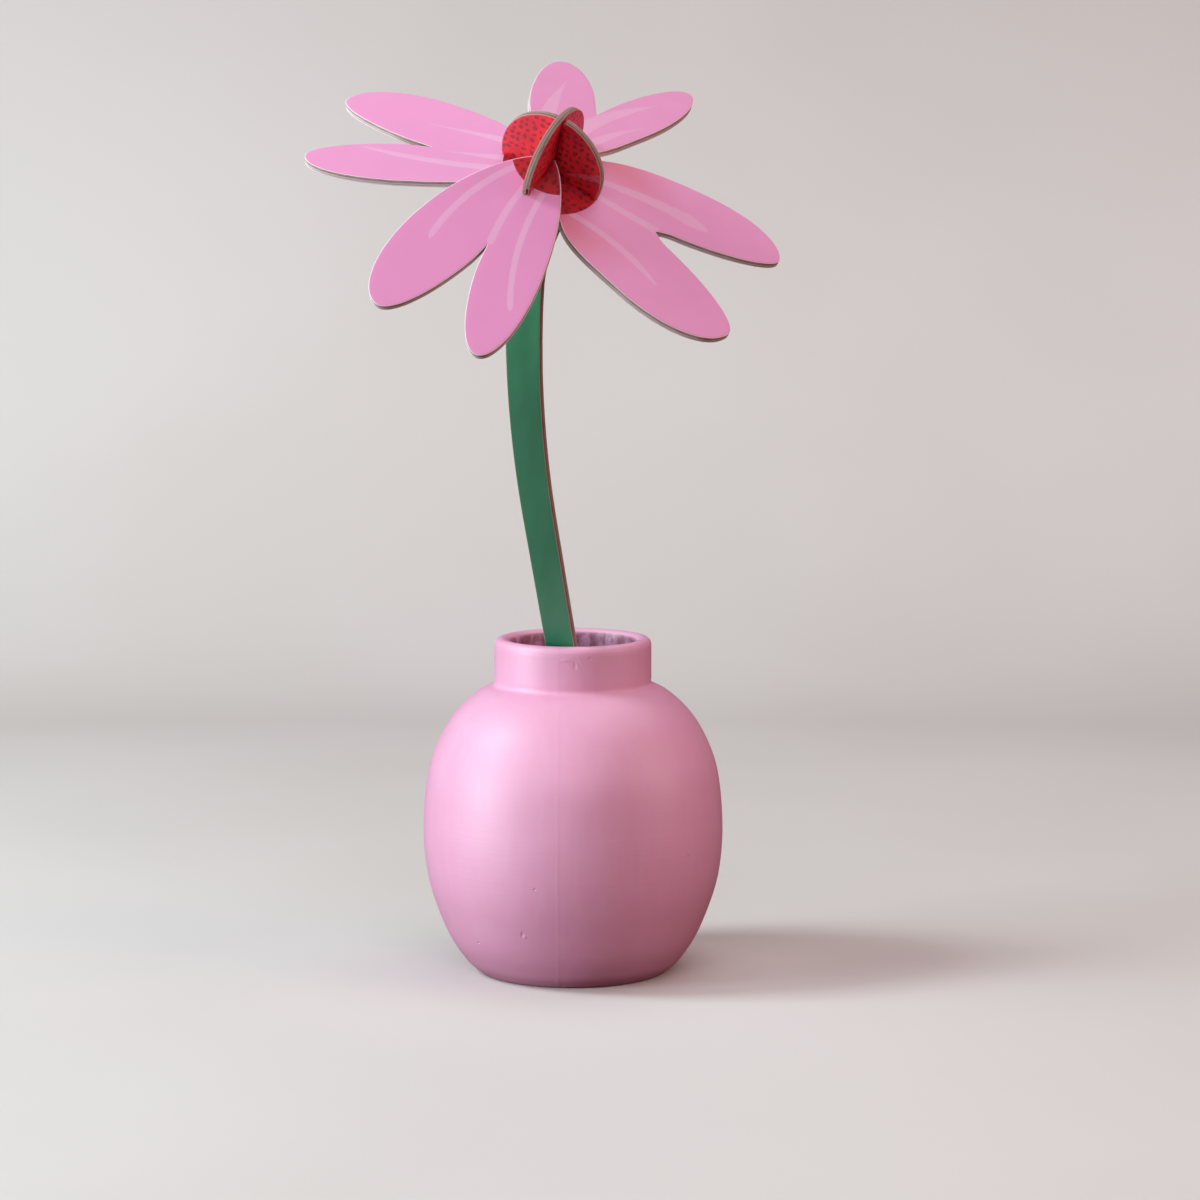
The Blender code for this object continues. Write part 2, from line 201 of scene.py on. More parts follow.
def buildBrushStroke():
    # one pale printed stroke between two points: bowed sideways, narrowing at its end
    numbers = ["Bow", "Start Width", "End Width", "Tip", "Ragged"]
    tree, bench, given, out = newGroup(
        "brushStroke", {"Vector": ["Place", "Start", "End"], "Float": numbers},
        {"Float": ["Mask"]},
    )
    look = strokeLook
    run = bench.vector("SUBTRACT", given["End"], given["Start"])
    rel = bench.vector("SUBTRACT", given["Place"], given["Start"])
    length = bench.vector("LENGTH", run)
    forward = bench.vector("DOT_PRODUCT", rel, run)
    along = bench.math("DIVIDE", forward, bench.times(length, length))
    side = bench.split(bench.vector("CROSS_PRODUCT", run, rel))["Z"]
    across = bench.math("DIVIDE", side, length)
    held = bench.math("ADD", along, 0.0, clamp=True)
    left = bench.minus(1.0, held)
    arch = bench.times(held, 4.0, left)  # 0 at both ends, 1 in the middle
    offset = bench.minus(across, bench.times(arch, given["Bow"]))
    beyond = bench.times(bench.minus(along, held), length)
    far = bench.vector("LENGTH", bench.combine(offset, beyond))
    ragged = bench.noise(given["Place"], look["raggedScale"], 3.0, look["raggedRough"])
    far = bench.plus(far, bench.times(bench.minus(ragged, 0.5), given["Ragged"]))
    half = bench.remap(held, 0.0, 1.0, (given["Start Width"], given["End Width"]), smooth=False)
    towardsTip = bench.math("DIVIDE", left, given["Tip"], clamp=True)
    drawnIn = bench.math("POWER", towardsTip, look["tipPower"])
    edge = bench.minus(bench.times(half, drawnIn), far)
    bench.plug(out["Mask"], bench.remap(edge, -look["softEdge"], look["softEdge"]))
    return tree


seedLook = {
    "spacing": 2.10,
    "size": 0.345,  # share of the spacing
    "sizeSpread": (0.78, 1.12),
    "squash": 1.32,  # how much longer than wide
    "randomness": 0.38,
    "turn": 6.28,
    "driftScale": 0.16, "drift": 2.6,
    "missing": 0.04,  # share of places with no seed
    "softEdge": 0.08,
    "strength": 0.70,
    "washScale": 0.16, "washShades": (0.38, 0.66),
}


def buildSeededRed():
    # red ink, deeper in places, with oval seeds that each point their own way
    tree, bench, given, out = newGroup(
        "seededRed", {"Vector": ["Place"], "Float": ["Seed"], "Color": ["Red", "Deep", "Ink"]},
        {"Color": ["Color"]},
    )
    look = seedLook
    moved = bench.vector("ADD", given["Place"], bench.combine(given["Seed"], given["Seed"]))
    wash = bench.noise(moved, look["washScale"])
    red = bench.mix(bench.remap(wash, *look["washShades"]), given["Red"], given["Deep"])
    drift = bench.noise(moved, look["driftScale"], output="Color")
    shift = bench.vector("MULTIPLY", drift, (look["drift"], look["drift"], 0.0))
    spacing = (look["spacing"], look["spacing"], 1.0)
    spot = bench.vector("DIVIDE", bench.vector("ADD", moved, shift), spacing)
    cells = bench.cells(spot, 1.0, look["randomness"], "2D")
    chance = bench.split(cells["Color"])
    fromSeed = bench.vector("SUBTRACT", spot, cells["Position"])
    turned = bench.add(
        "ShaderNodeVectorRotate",
        {"Vector": fromSeed, "Angle": bench.times(chance["X"], look["turn"])},
        rotation_type="Z_AXIS",
    )
    oval = bench.vector("MULTIPLY", turned.outputs[0], (1.0, look["squash"], 0.0))
    size = bench.times(look["size"], bench.remap(chance["Y"], 0.0, 1.0, look["sizeSpread"]))
    inside = bench.minus(size, bench.vector("LENGTH", oval))
    mark = bench.remap(inside, -look["softEdge"], look["softEdge"])
    kept = bench.math("GREATER_THAN", chance["Z"], look["missing"])
    share = bench.times(mark, kept, look["strength"])
    bench.plug(out["Color"], bench.mix(share, red, given["Ink"]))
    return tree


finishLook = {"rimFrom": 0.15, "rimShare": 0.75, "flecks": 0.45}


def buildPrintFinish():
    # paper tooth, and ink that gathers along the pressed rim
    tree, bench, given, out = newGroup(
        "printFinish",
        {"Vector": ["Place"], "Color": ["Color", "Rim Color"], "Float": ["Rim", "Mottle"]},
        {"Color": ["Color"], "Float": ["Height"]},
    )
    look = finishLook
    rim = bench.remap(given["Rim"], look["rimFrom"], 1.0, (0.0, look["rimShare"]))
    colour = bench.mix(rim, given["Color"], given["Rim Color"])
    sockets = {"Place": given["Place"], "Mottle": given["Mottle"], "Flecks": look["flecks"]}
    tooth = bench.use(paperTooth, sockets)
    bench.plug(out["Color"], bench.shade(colour, tooth["Shade"]))
    bench.plug(out["Height"], tooth["Height"])
    return tree


paperTooth = buildPaperTooth()
brushStroke = buildBrushStroke()
seededRed = buildSeededRed()
printFinish = buildPrintFinish()
print("shared effects built")


# how the boards are read, in mm where it is a length
cadLook = {
    "weld": 0.002,
    "tiny": 0.01,  # a run shorter than this is left out
    "flattest": 0.999, "flat": 0.99,  # how well a face points the board's way
    "sameFace": 0.05,  # a flat face this close to the printed face belongs to it
    "notchTurn": math.radians(92), "besideTurn": math.radians(60),  # tell a notch from a slot
    "notchBend": 0.35,  # how far from its far end a notch's side bends
    "muchLonger": 2.5,  # a run this much longer than its neighbour stays straight
    "doublesBack": 0.2,
    "sharpest": 0.55,  # limits how far a corner is pushed out
}


def weldedMesh(nodeName):
    mesh = bmesh.new()
    mesh.from_mesh(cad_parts[nodeName].data)
    bmesh.ops.remove_doubles(mesh, verts=mesh.verts, dist=cadLook["weld"] * mm)
    mesh.normal_update()
    return mesh


def facing(mesh, hint):
    # the way a flat board faces, on the side that the hint points to
    widest = max(mesh.faces, key=lambda face: face.calc_area()).normal.copy()
    total = Vector()
    for face in mesh.faces:
        if abs(face.normal.dot(widest)) > cadLook["flattest"]:
            side = 1 if face.normal.dot(widest) > 0 else -1
            total += face.normal * (side * face.calc_area())
    total.normalize()
    return total if total.dot(hint) > 0 else -total


def spanAlong(mesh, direction):
    reach = [vertex.co.dot(direction) for vertex in mesh.verts]
    return min(reach), max(reach)


# the flower's own directions, from the two fins that cross at its middle
stemMesh = weldedMesh("stem_board")
finMesh = weldedMesh("cross_fin")
sideways = facing(finMesh, Vector((1, 0, 0)))
backways = facing(stemMesh, Vector((0, 1, 0)))
upwards = sideways.cross(backways).normalized()
finSpan = spanAlong(finMesh, sideways)
stemSpan = spanAlong(stemMesh, backways)
thickness = finSpan[1] - finSpan[0]
coneTop = (
    sideways * (sum(finSpan) / 2)
    + backways * (sum(stemSpan) / 2)
    + upwards * spanAlong(stemMesh, upwards)[1]
)


finWays = {
    "stem_board": (sideways, upwards, -backways),
    "cross_fin": (backways, upwards, sideways),
}


def boardPlace(mesh, nodeName):
    # the board's own frame: x and y in its printed face, z out of it, 0 on the cone's axis
    if nodeName in finWays:
        x, y, z = finWays[nodeName]
        origin = coneTop + z * (thickness / 2)
    else:
        z = facing(mesh, upwards)
        out = sum((vertex.co for vertex in mesh.verts), Vector()) / len(mesh.verts) - coneTop
        heading = max((sideways, -sideways, backways, -backways), key=out.dot)
        x = (heading - z * heading.dot(z)).normalized()
        y = z.cross(x)
        height = spanAlong(mesh, z)[1]
        origin = coneTop + upwards * ((height - coneTop.dot(z)) / upwards.dot(z))
    place = Matrix((x, y, z)).transposed().to_4x4()
    place.translation = origin
    return place


def faceOutline(mesh, place):
    # the loop around the printed face, in the board's own frame
    inward = place.inverted()
    z = place.to_3x3() @ Vector((0, 0, 1))
    top = [
        face for face in mesh.faces
        if face.normal.dot(z) > cadLook["flat"]
        and abs((inward @ face.calc_center_median()).z) < cadLook["sameFace"] * mm
    ]
    chosen = set(top)
    after = {}
    for face in top:
        for loop in face.loops:
            if not any(other in chosen for other in loop.edge.link_faces if other is not face):
                after[loop.vert] = loop.link_loop_next.vert
    first = next(iter(after))
    loopVerts = [first]
    while after[loopVerts[-1]] is not first:
        loopVerts.append(after[loopVerts[-1]])
    return sharpNotch([(inward @ vertex.co).to_2d() for vertex in loopVerts])


def turnAt(points, i):
    before = points[i] - points[i - 1]
    ahead = points[(i + 1) % len(points)] - points[i]
    return before.angle_signed(ahead, 0.0)


def sharpNotch(points):
    # the notch between two petals runs to a clean point
    count = len(points)
    for i in range(count):
        beside = max(abs(turnAt(points, j % count)) for j in (i - 1, i + 1))
        isNotch = abs(turnAt(points, i)) >= cadLook["notchTurn"]
        if not isNotch or beside > cadLook["besideTurn"]:
            continue
        tip = points[i]
        for way in (1, -1):
            far, beyond = points[(i + 3 * way) % count], points[(i + 4 * way) % count]
            back = (far - beyond).normalized()
            bend = far + back * (far - tip).length * cadLook["notchBend"]
            for step, t in ((1, 1 / 3), (2, 2 / 3)):
                points[(i + step * way) % count] = (
                    tip * (1 - t) ** 2 + bend * 2 * t * (1 - t) + far * t**2
                )
        break
    return points


def headingBetween(back, front):
    # where a smooth curve heads as two runs meet: along a much longer one, or in between
    shorter, longer = sorted((back, front), key=lambda run: run.length)
    if longer.length > cadLook["muchLonger"] * shorter.length:
        return longer.normalized()
    return (back.normalized() * front.length + front.normalized() * back.length).normalized()


def bendThrough(before, a, b, ahead, t):
    # a place between a and b on a smooth curve that heads for its neighbours
    span = b - a
    leave = headingBetween(a - before, span)
    arrive = headingBetween(span, ahead - b)
    return (
        a * (2 * t**3 - 3 * t**2 + 1) + b * (3 * t**2 - 2 * t**3)
        + leave * span.length * (t**3 - 2 * t**2 + t) + arrive * span.length * (t**3 - t**2)
    )


def curveThrough(stretch, step, rounding=round):
    # a smooth curve through a stretch of points, up to the last
    curve = []
    last = len(stretch) - 1
    for i in range(last):
        a, b = stretch[i], stretch[i + 1]
        before = stretch[i - 1] if i > 0 else a + (a - b)
        ahead = stretch[i + 2] if i + 2 <= last else b + (b - a)
        pieces = max(1, rounding((b - a).length / step))
        curve += [bendThrough(before, a, b, ahead, piece / pieces) for piece in range(pieces)]
    return curve


def evenOutline(points, look):
    # keeps the corners, with smooth curves between them
    tiny = cadLook["tiny"] * mm
    points = [p for i, p in enumerate(points) if (p - points[i - 1]).length > tiny]
    sharp = math.radians(look["cornerTurn"])
    corners = [i for i in range(len(points)) if abs(turnAt(points, i)) > sharp]
    ring, isCorner = [], []
    for number, start in enumerate(corners):
        end = corners[(number + 1) % len(corners)]
        count = (end - start) % len(points) or len(points)
        stretch = [points[(start + i) % len(points)] for i in range(count + 1)]
        curve = curveThrough(stretch, look["step"] * mm)
        ring += curve
        isCorner += [True] + [False] * (len(curve) - 1)
    return ring, isCorner


def outwardNormals(ring):
    normals = []
    for i, point in enumerate(ring):
        before = (point - ring[i - 1]).normalized()
        ahead = (ring[(i + 1) % len(ring)] - point).normalized()
        along = before + ahead
        if along.length < cadLook["doublesBack"]:
            along = ahead
        along.normalize()
        square = max(cadLook["sharpest"], abs(along.dot(ahead)))
        normals.append(Vector((along.y, -along.x)) / square)
    return normals


# depth as a share of the thickness, and how far the cut is set back there, in mm
cutProfile = [
    (0.012, 0.170), (0.024, 0.100), (0.042, 0.040), (0.066, 0.008),
    (0.088, 0.012), (0.104, 0.052), (0.122, 0.048), (0.148, 0.014),
    (0.215, 0.006), (0.285, 0.018), (0.315, 0.058), (0.345, 0.022),
    (0.430, 0.004), (0.505, 0.014), (0.535, 0.062), (0.565, 0.020),
    (0.650, 0.000), (0.730, 0.012), (0.760, 0.050), (0.790, 0.016),
    (0.870, 0.010), (0.915, 0.044), (0.935, 0.012), (0.958, 0.008),
    (0.974, 0.050), (0.988, 0.150),
]
printRoll = 0.42  # mm, how wide the printed face rolls over towards the cut


def depthInside(point, loop):
    # how far a place lies inside a loop, and 0 outside it
    inside, gap = False, 1.0
    for i, b in enumerate(loop):
        a = loop[i - 1]
        run = b - a
        crosses = (a.y > point.y) != (b.y > point.y)
        if crosses and point.x < (b.x - a.x) * (point.y - a.y) / (b.y - a.y) + a.x:
            inside = not inside
        share = max(0.0, min(1.0, (point - a).dot(run) / max(run.length_squared, 1e-18)))
        gap = min(gap, (point - a - run * share).length)
    return gap if inside else 0.0


def acrossSlot(ring, i, normal, look):
    # how far it is, in mm, from a place on the outline to the slot's other wall
    if ring[i].length > look["slotZone"] * mm:
        return None
    out = normal.normalized()
    start = ring[i] + out * look["slotStart"] * mm
    stop = ring[i] + out * look["slotWidth"] * mm
    met = (geometry.intersect_line_line_2d(start, stop, ring[j - 1], b) for j, b in enumerate(ring))
    away = [(place - ring[i]).length / mm for place in met if place]
    return min(away) if away else None


def slotGrowth(ring, normals, look):
    # how far, in mm, each place on the outline moves so that the slots close up: their
    # walls, and the closed end between two walls
    widths = [acrossSlot(ring, i, normal, look) for i, normal in enumerate(normals)]

    def wallWithin(i, direction):
        walked = 0.0
        while walked < look["slotEnd"] * mm:
            j = (i + direction) % len(ring)
            walked += (ring[j] - ring[i]).length
            if widths[j]:
                return True
            i = j
        return False

    growth = []
    for i, width in enumerate(widths):
        if width:
            snug = (width - thickness / mm) / 2 - look["slotGap"]
            growth.append(max(look["slotLeast"], min(look["slotGrow"], snug)))
        elif ring[i].length < look["slotZone"] * mm and wallWithin(i, 1) and wallWithin(i, -1):
            growth.append(look["slotEndGrow"])
        else:
            growth.append(0.0)
    return growth


def fillFace(mesh, loop, pitch, heightAt):
    # closes a loop of vertices with even triangles
    rim = [vertex.co.to_2d() for vertex in loop]
    across, along = [p.x for p in rim], [p.y for p in rim]
    low = Vector((min(across), min(along)))
    rise = pitch * 0.866  # height of an even triangle
    clear = pitch * 0.45  # no inner place this close to the rim
    inner = []
    for row in range(int((max(along) - low.y) / rise) + 1):
        for column in range(int((max(across) - low.x) / pitch) + 1):
            spot = low + Vector(((column + 0.5 * (row % 2)) * pitch, row * rise))
            if depthInside(spot, rim) > clear:
                inner.append(spot)
    borders = [(i, (i + 1) % len(rim)) for i in range(len(rim))]
    flat, _, triangles, origins, _, _ = geometry.delaunay_2d_cdt(
        rim + inner, borders, [list(range(len(rim)))], 1, 1e-9
    )
    verts = []
    for place, origin in zip(flat, origins):
        if origin and min(origin) < len(rim):
            verts.append(loop[min(origin)])
        else:
            verts.append(mesh.verts.new((place.x, place.y, heightAt(place.x, place.y))))
    return [mesh.faces.new([verts[i] for i in triangle]) for triangle in triangles]


def boardWarp(look):
    # the gentle curl and waviness of a dried board, none at the slots
    def warp(x, y):
        far = max(0.0, math.hypot(x, y) - look["calm"] * mm) / (look["farAway"] * mm)
        wave = noise.noise(Vector((x * look["waveScale"], y * look["waveScale"], look["seed"])))
        return mm * far * (look["curl"] * far + look["wave"] * wave)

    return warp


def nickDepth(look, spot, depth):
    # a short split between the layers of the cut edge
    total = 0.0
    for x, y, long, middle, thick, deep in look["nicks"]:
        aside = (spot - Vector((x, y)) * mm).length / (long * mm)
        apart = abs(depth - middle) / thick
        if aside < 1 and apart < 1:
            total += deep * (1 - aside**2) * (1 - apart**2)
    return total


def cutInset(look, spot, walked, depth, inset):
    # the cut's profile, with a little fibre and uneven knife pressure
    seed = look["seed"]
    fibre = noise.noise(Vector((walked * look["roughScale"], depth * look["roughPlies"], seed)))
    across = depth * look["pressPlies"]
    press = noise.noise(Vector((walked * look["pressScale"], across, seed + look["pressSeed"])))
    uneven = fibre * look["rough"] + max(0.0, press) * look["press"]
    return inset + uneven + nickDepth(look, spot, depth)


def markPlaces(mesh, rows, growth, lengths, look):
    # the place on the print and the way around the cut are in mm, the depth is a share
    floats, vectors = mesh.verts.layers.float, mesh.verts.layers.float_vector
    printPlace, edgePlace = vectors["printPlace"], vectors["edgePlace"]
    edgeLightShade, rimShare, slotShade = vectors["edgeLightShade"], floats["rimShare"], floats["slotShade"]
    for vertex in mesh.verts:
        vertex[printPlace] = vertex.co / mm
    for (depth, _), row in zip(cutProfile, rows):
        for vertex, walked, grow in zip(row, lengths, growth):
            vertex[edgePlace] = (walked / mm, depth, look["seed"])
            vertex[edgeLightShade] = look["edgeLightShade"]
            # slot walls are marked for the painted shade
            vertex[slotShade] = 1.0 if grow else 0.0
    for row in (rows[0], rows[-1]):
        for vertex, grow in zip(row, growth):
            vertex[rimShare] = 0.0 if grow else 1.0


def boardMesh(look, ring, isCorner):
    normals = outwardNormals(ring)
    growth = slotGrowth(ring, normals, look)
    grown = [point + normal * grow * mm for point, normal, grow in zip(ring, normals, growth)]
    lengths = [0.0]
    for i in range(1, len(ring)):
        lengths.append(lengths[-1] + (ring[i] - ring[i - 1]).length)
    warp = boardWarp(look)
    mesh = bmesh.new()
    layers = mesh.verts.layers
    for name in ("printPlace", "edgePlace", "edgeLightShade"):
        layers.float_vector.new(name)
    for name in ("rimShare", "slotShade"):
        layers.float.new(name)

    def makeRow(depth, insets):
        row = []
        for point, normal, grow, inset in zip(grown, normals, growth, insets):
            spot = point - normal * (0.0 if grow else inset) * mm
            height = -depth * thickness + warp(point.x, point.y)
            row.append(mesh.verts.new((spot.x, spot.y, height)))
        return row

    count = len(ring)
    rows = []
    for depth, inset in cutProfile:
        insets = [cutInset(look, ring[i], lengths[i], depth, inset) for i in range(count)]
        rows.append(makeRow(depth, insets))
    roll = makeRow(0.0, [cutProfile[0][1] + printRoll] * count)
    underRoll = makeRow(1.0, [cutProfile[-1][1] + printRoll] * count)
    allRows = [roll, *rows, underRoll]

    sideFaces = []
    for upper, lower in zip(allRows[:-1], allRows[1:]):
        for i in range(count):
            j = (i + 1) % count
            sideFaces.append(mesh.faces.new((upper[i], lower[i], lower[j], upper[j])))
            if isCorner[i]:
                mesh.edges.get((upper[i], lower[i])).smooth = False
    pitch = look["pitch"] * mm
    topFaces = fillFace(mesh, roll, pitch, warp)
    fillFace(mesh, underRoll, pitch, lambda x, y: warp(x, y) - thickness)
    bmesh.ops.recalc_face_normals(mesh, faces=mesh.faces)
    if topFaces[0].normal.z < 0:
        bmesh.ops.reverse_faces(mesh, faces=mesh.faces)

    # the print covers both faces and their rims
    for face in mesh.faces:
        face.smooth = True
    for face in sideFaces[count:-count]:
        face.material_index = 1
    markPlaces(mesh, rows, growth, lengths, look)
    return mesh


def makeBoard(name, nodeName, look, printInk, cutEdge):
    source = weldedMesh(nodeName)
    place = boardPlace(source, nodeName)
    outline = faceOutline(source, place)
    source.free()
    ring, isCorner = evenOutline(outline, look)
    if sum(ring[i - 1].cross(p) for i, p in enumerate(ring)) < 0:
        ring.reverse()
        isCorner.reverse()
    piece = objectFrom(boardMesh(look, ring, isCorner), name, printInk, cutEdge)
    piece.data.transform(place)
    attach(piece, "root")
    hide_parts(nodeName)


# greyboard, as its cut edge shows it
greyboard = {
    "core": (0.32, 0.225, 0.185),
    "coreDark": (0.095, 0.060, 0.045), "corePale": (0.64, 0.530, 0.480),
    "paper": (0.72, 0.610, 0.650),
    "whitePulp": (0.66, 0.580, 0.600), "whitePly": 0.56,
    # the colour of the painted shade inside the slots
    "slot": (0.060, 0.020, 0.022),
    "roughness": 0.85,
    # layers and fibres: scale around the board, scale through it, roughness, detail
    "layers": (0.22, 15.0, 0.62, 4.0), "layerShades": (0.36, 0.66),
    "fibres": (2.2, 30.0, 0.7, 3.0), "fibreShades": (0.3, 0.75), "fibreShare": 0.35,
    "coreShare": 0.30,
    "waverScale": 0.16, "waver": 0.10,
    "seams": [(0.32, 0.55), (0.55, 0.6), (0.77, 0.5)],  # depth and strength
    "seamEdge": (0.045, 0.008),
    "paperEdge": (0.080, 0.056),  # share of the depth where the paper stops
    "paperUnder": 0.30,  # below 1, the paper reaches further over on the far face
    "plyEdge": (0.12, 0.07), "plyShare": 0.75,
    "bumpStrength": 0.35, "bumpHeight": 0.05,
}


def streaks(bench, around, depth, seed, scales):
    # noise that is drawn out along the cut
    aroundScale, depthScale, rough, detail = scales
    place = bench.combine(bench.times(around, aroundScale), bench.times(depth, depthScale), seed)
    return bench.noise(place, 1.0, detail, rough)


def makeCutEdge():
    look = greyboard
    material, bench, shader = newMaterial("greyboardEdge", look["roughness"])
    around, depth, seed = bench.split(bench.attribute("edgePlace"))
    # long thin layers that waver a little
    drawnOut = bench.combine(bench.times(around, look["waverScale"]), seed)
    waver = bench.noise(drawnOut, 1.0, detail=3.0)
    level = bench.plus(depth, bench.times(bench.minus(waver, 0.5), look["waver"]))
    layers = streaks(bench, around, level, seed, look["layers"])
    fibre = streaks(bench, around, depth, seed, look["fibres"])
    dark, pale = look["coreDark"], look["corePale"]
    colour = bench.mix(bench.remap(layers, *look["layerShades"]), dark, pale)
    colour = bench.mix(look["coreShare"], colour, look["core"])
    threads = bench.remap(fibre, *look["fibreShades"], (0.0, look["fibreShare"]))
    colour = bench.mix(threads, colour, pale)
    # darker seams where the pulp layers meet
    for seam, strength in look["seams"]:
        away = bench.math("ABSOLUTE", bench.minus(level, seam))
        colour = bench.mix(bench.remap(away, *look["seamEdge"], (0.0, strength)), colour, dark)
    # the paper's own cut edge, which the punch has drawn further over on the far face
    fromUnder = bench.times(bench.minus(1.0, depth), look["paperUnder"])
    fromFace = bench.math("MINIMUM", depth, fromUnder)
    colour = bench.mix(bench.remap(fromFace, *look["paperEdge"]), colour, look["paper"])
    # one ply is made of whiter pulp than the rest
    fromPly = bench.math("ABSOLUTE", bench.minus(level, look["whitePly"]))
    ply = bench.remap(fromPly, *look["plyEdge"], (0.0, look["plyShare"]))
    colour = bench.mix(ply, colour, look["whitePulp"])
    # painted light and shade: each board's cut edge is multiplied by its own tone, lighter on the
    # petals and darker, browner on the two fins
    colour = bench.mix(1.0, colour, bench.attribute("edgeLightShade"), "MULTIPLY")
    # painted shade inside the slots: the slot walls are drawn near black
    colour = bench.mix(bench.attribute("slotShade", "Fac"), colour, look["slot"])
    bench.plug(shader["Base Color"], colour)
    height = bench.plus(layers, fibre)
    bench.raiseBy(shader, height, look["bumpStrength"], look["bumpHeight"])
    return material


greyboardEdge = makeCutEdge()

# inks of the printed faces
inks = {
    "pink": (0.80, 0.278, 0.560), "pinkDeep": (0.80, 0.200, 0.460),
    "stroke": (0.82, 0.470, 0.685),
    "blush": (0.74, 0.165, 0.270),
    "red": (0.80, 0.006, 0.024), "redDeep": (0.66, 0.002, 0.018),
    # the red middle is drawn darker by this share, as painted shade
    "discShadeShare": 0.62, "discCoat": 0.15,
    "seed": (0.14, 0.003, 0.012),
    "green": (0.024, 0.225, 0.108), "greenDeep": (0.012, 0.180, 0.080),
    "roughness": 0.55,
    "coat": (0.80, 0.52),  # weight and roughness
    "bumpStrength": 0.22, "bumpHeight": 0.05,
    "petalMottle": 0.09, "finMottle": 0.14,
    "blushReach": (42.0, 14.0), "blushAside": (5.5, 16.0),  # mm, where it starts and is full
    "discEdge": 0.08,
    # painted light and shade: the green is drawn lighter high up and darker low down, towards the
    # vase's lip
    "greenWash": (0.36, 0.66), "greenScale": 0.10, "greenStretch": 0.25,
    "greenShadeFall": (-50.0, -125.0), "greenShadeRange": (1.34, 0.84),
}


def startPrint(name):
    material, bench, shader = newMaterial(name, inks["roughness"], inks["coat"])
    place = bench.attribute("printPlace")
    return material, bench, shader, place, bench.vector("MULTIPLY", place, (1.0, 1.0, 0.0))


def addStrokes(bench, place, colour, strokes):
    for start, end, bow, startWidth, endWidth, tip, ragged, strength in strokes:
        mask = bench.use(brushStroke, {
            "Place": place, "Start": (*start, 0.0), "End": (*end, 0.0), "Bow": bow,
            "Start Width": startWidth, "End Width": endWidth, "Tip": tip, "Ragged": ragged,
        })["Mask"]
        colour = bench.mix(bench.times(mask, strength), colour, inks["stroke"])
    return colour


def seeds(bench, place, seed):
    return bench.use(seededRed, {
        "Place": place, "Seed": seed, "Red": inks["red"], "Deep": inks["redDeep"],
        "Ink": inks["seed"],
    })["Color"]


def finishPrint(bench, shader, place, colour, rimColour, mottle):
    done = bench.use(printFinish, {
        "Place": place, "Color": colour, "Rim Color": rimColour,
        "Rim": bench.attribute("rimShare", "Fac"), "Mottle": mottle,
    })
    bench.plug(shader["Base Color"], done["Color"])
    bench.raiseBy(shader, done["Height"], inks["bumpStrength"], inks["bumpHeight"])


def makePetalPrint(name, look):
    material, bench, shader, place, flatPlace = startPrint(name)
    # warmer along the outer sides close to the cone
    fromHub = bench.vector("LENGTH", flatPlace)
    aside = bench.math("ABSOLUTE", bench.split(flatPlace)[1])
    nearHub = bench.remap(fromHub, *inks["blushReach"])
    atSides = bench.remap(aside, *inks["blushAside"])
    blush = bench.times(nearHub, atSides, look["blush"])
    colour = bench.mix(blush, inks["pink"], inks["blush"])
    colour = addStrokes(bench, flatPlace, colour, look["strokes"])
    x, y, radius = look["disc"]
    fromMiddle = bench.vector("LENGTH", bench.vector("SUBTRACT", flatPlace, (x, y, 0.0)))
    inside = bench.minus(radius, fromMiddle)
    disc = bench.remap(inside, -inks["discEdge"], inks["discEdge"])
    # painted shade: the red middle is drawn darker than the cone's red
    shadedDiscRed = bench.shade(seeds(bench, flatPlace, look["inkSeed"]), inks["discShadeShare"])
    colour = bench.mix(disc, colour, shadedDiscRed)
    # the red middle is printed without the satin varnish
    coat = bench.remap(disc, 0.0, 1.0, (inks["coat"][0], inks["discCoat"]))
    bench.plug(shader["Coat Weight"], coat)
    finishPrint(bench, shader, place, colour, inks["pinkDeep"], inks["petalMottle"])
    return material


# settings that every board shares
boardLook = {
    "step": 0.5, "cornerTurn": 28.0, "pitch": 1.6,
    "rough": 0.030, "roughScale": 900, "roughPlies": 14,
    "press": 0.05, "pressScale": 120, "pressPlies": 2, "pressSeed": 9,
    "farAway": 40.0, "curl": 0.10, "wave": 0.5, "waveScale": 28,
    "nicks": [],
    "slotZone": 19.0, "slotWidth": 4.6, "slotEnd": 3.4, "slotGap": -0.03, "slotGrow": 0.60,
    # painted light: the cut edges are drawn lighter here, and the fins override this
    "slotEndGrow": 0.70, "slotStart": 0.05, "slotLeast": 0.01, "edgeLightShade": (1.22, 1.20, 1.22),
}

